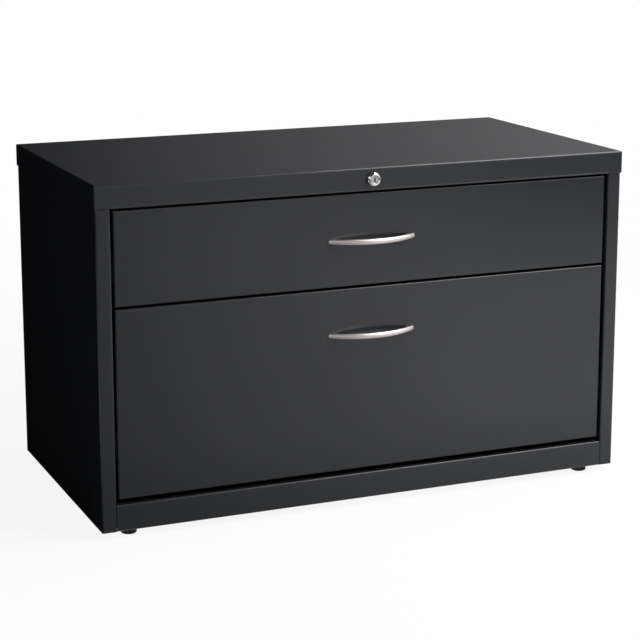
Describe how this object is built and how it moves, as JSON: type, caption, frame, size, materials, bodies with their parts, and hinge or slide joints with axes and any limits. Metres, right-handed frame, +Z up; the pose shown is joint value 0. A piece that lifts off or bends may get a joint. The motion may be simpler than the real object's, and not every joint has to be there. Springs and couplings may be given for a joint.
{
  "type": "lateral filing cabinet",
  "caption": "Low, wide sheet-steel lateral file with a shallow box drawer over a deep file drawer, bowed pulls, a key lock in the top flange and levelling glides.",
  "frame": {"origin": "on the floor, under the middle of the overall box with the drawers shut", "axes": "+X to the right as seen from the front, +Y to the back, +Z up"},
  "size_m": [0.9144, 0.4972, 0.5576],
  "materials": {
    "charcoal_paint": "satin powder coat",
    "zinc_steel": "bright zinc plate",
    "satin_nickel": "satin nickel plate",
    "chrome": "polished",
    "black_plastic": "moulded",
    "black_steel": "mill scale"
  },
  "bodies": {
    "case": {"top_panel": "charcoal_paint", "left_side_panel": "charcoal_paint", "right_side_panel": "charcoal_paint", "back_panel": "charcoal_paint", "base_rail": "charcoal_paint", "base_pan": "charcoal_paint", "counterweight": "black_steel", "lock_rail": "charcoal_paint", "left_front_upright": "charcoal_paint", "left_rear_upright": "charcoal_paint", "right_front_upright": "charcoal_paint", "right_rear_upright": "charcoal_paint", "lock_housing": "chrome", "lock_nut": "zinc_steel", "upper_left_outer_slide": "zinc_steel", "upper_right_outer_slide": "zinc_steel", "lower_left_outer_slide": "zinc_steel", "lower_right_outer_slide": "zinc_steel"},
    "upper_drawer": {"upper_drawer_face": "charcoal_paint", "upper_tray_walls": "charcoal_paint", "upper_tray_floor": "charcoal_paint", "upper_lock_keeper": "zinc_steel", "upper_handle": "satin_nickel", "upper_left_handle_screw": "zinc_steel", "upper_right_handle_screw": "zinc_steel", "upper_left_inner_slide": "zinc_steel", "upper_right_inner_slide": "zinc_steel"},
    "upper_middle_slides": {"upper_left_middle_slide": "zinc_steel", "upper_right_middle_slide": "zinc_steel"},
    "upper_outer_cages": {"upper_left_outer_cage": "zinc_steel", "upper_right_outer_cage": "zinc_steel"},
    "upper_inner_cages": {"upper_left_inner_cage": "zinc_steel", "upper_right_inner_cage": "zinc_steel"},
    "lower_drawer": {"lower_drawer_face": "charcoal_paint", "lower_tray_walls": "charcoal_paint", "lower_tray_floor": "charcoal_paint", "lower_lock_keeper": "zinc_steel", "lower_handle": "satin_nickel", "lower_left_handle_screw": "zinc_steel", "lower_right_handle_screw": "zinc_steel", "lower_left_inner_slide": "zinc_steel", "lower_right_inner_slide": "zinc_steel", "front_hang_rail": "zinc_steel", "rear_hang_rail": "zinc_steel"},
    "lower_middle_slides": {"lower_left_middle_slide": "zinc_steel", "lower_right_middle_slide": "zinc_steel"},
    "lower_outer_cages": {"lower_left_outer_cage": "zinc_steel", "lower_right_outer_cage": "zinc_steel"},
    "lower_inner_cages": {"lower_left_inner_cage": "zinc_steel", "lower_right_inner_cage": "zinc_steel"},
    "lock_core": {"lock_plug": "chrome", "lock_cam": "zinc_steel", "lock_cam_screw": "zinc_steel"},
    "lock_slide": {"lock_slide_bar": "zinc_steel"},
    "lock_lift": {"lock_bar": "zinc_steel"},
    "left_front_glide": {"left_front_glide": "black_plastic"},
    "right_front_glide": {"right_front_glide": "black_plastic"},
    "left_rear_glide": {"left_rear_glide": "black_plastic"},
    "right_rear_glide": {"right_rear_glide": "black_plastic"}
  },
  "joints": [
    {"name": "upper_drawer_slide", "type": "slide", "parent": "case", "child": "upper_drawer", "axis": [0, -1, 0], "range_m": [0, 0.4]},
    {"name": "upper_middle_slides_run", "type": "slide", "parent": "case", "child": "upper_middle_slides", "axis": [0, -1, 0], "range_m": [0, 0.2]},
    {"name": "upper_outer_cages_run", "type": "slide", "parent": "case", "child": "upper_outer_cages", "axis": [0, -1, 0], "range_m": [0, 0.1]},
    {"name": "upper_inner_cages_run", "type": "slide", "parent": "case", "child": "upper_inner_cages", "axis": [0, -1, 0], "range_m": [0, 0.3]},
    {"name": "lower_drawer_slide", "type": "slide", "parent": "case", "child": "lower_drawer", "axis": [0, -1, 0], "range_m": [0, 0.4]},
    {"name": "lower_middle_slides_run", "type": "slide", "parent": "case", "child": "lower_middle_slides", "axis": [0, -1, 0], "range_m": [0, 0.2]},
    {"name": "lower_outer_cages_run", "type": "slide", "parent": "case", "child": "lower_outer_cages", "axis": [0, -1, 0], "range_m": [0, 0.1]},
    {"name": "lower_inner_cages_run", "type": "slide", "parent": "case", "child": "lower_inner_cages", "axis": [0, -1, 0], "range_m": [0, 0.3]},
    {"name": "lock_slide_run", "type": "slide", "parent": "case", "child": "lock_slide", "axis": [-1, 0, 0], "range_m": [0, 0.00848]},
    {"name": "lock_turn", "type": "hinge", "parent": "case", "child": "lock_core", "pos_m": [0, -0.2244, 0.5391], "axis": [0, 1, 0], "range_deg": [0, 90]},
    {"name": "lock_bar_lift", "type": "slide", "parent": "case", "child": "lock_lift", "axis": [0, 0, 1], "range_m": [0, 0.008]},
    {"name": "left_front_glide_screw", "type": "slide", "parent": "case", "child": "left_front_glide", "axis": [0, 0, -1], "range_m": [0, 0.012]},
    {"name": "right_front_glide_screw", "type": "slide", "parent": "case", "child": "right_front_glide", "axis": [0, 0, -1], "range_m": [0, 0.012]},
    {"name": "left_rear_glide_screw", "type": "slide", "parent": "case", "child": "left_rear_glide", "axis": [0, 0, -1], "range_m": [0, 0.012]},
    {"name": "right_rear_glide_screw", "type": "slide", "parent": "case", "child": "right_rear_glide", "axis": [0, 0, -1], "range_m": [0, 0.012]}
  ],
  "couplings": [
    {"joint": "upper_middle_slides_run", "follows": "upper_drawer_slide", "ratio": 0.5},
    {"joint": "upper_outer_cages_run", "follows": "upper_drawer_slide", "ratio": 0.25},
    {"joint": "upper_inner_cages_run", "follows": "upper_drawer_slide", "ratio": 0.75},
    {"joint": "lower_middle_slides_run", "follows": "lower_drawer_slide", "ratio": 0.5},
    {"joint": "lower_outer_cages_run", "follows": "lower_drawer_slide", "ratio": 0.25},
    {"joint": "lower_inner_cages_run", "follows": "lower_drawer_slide", "ratio": 0.75},
    {"joint": "lock_turn", "follows": "lock_slide_run", "rad_per_m": 185.12},
    {"joint": "lock_bar_lift", "follows": "lock_slide_run", "ratio": 0.9428}
  ]
}
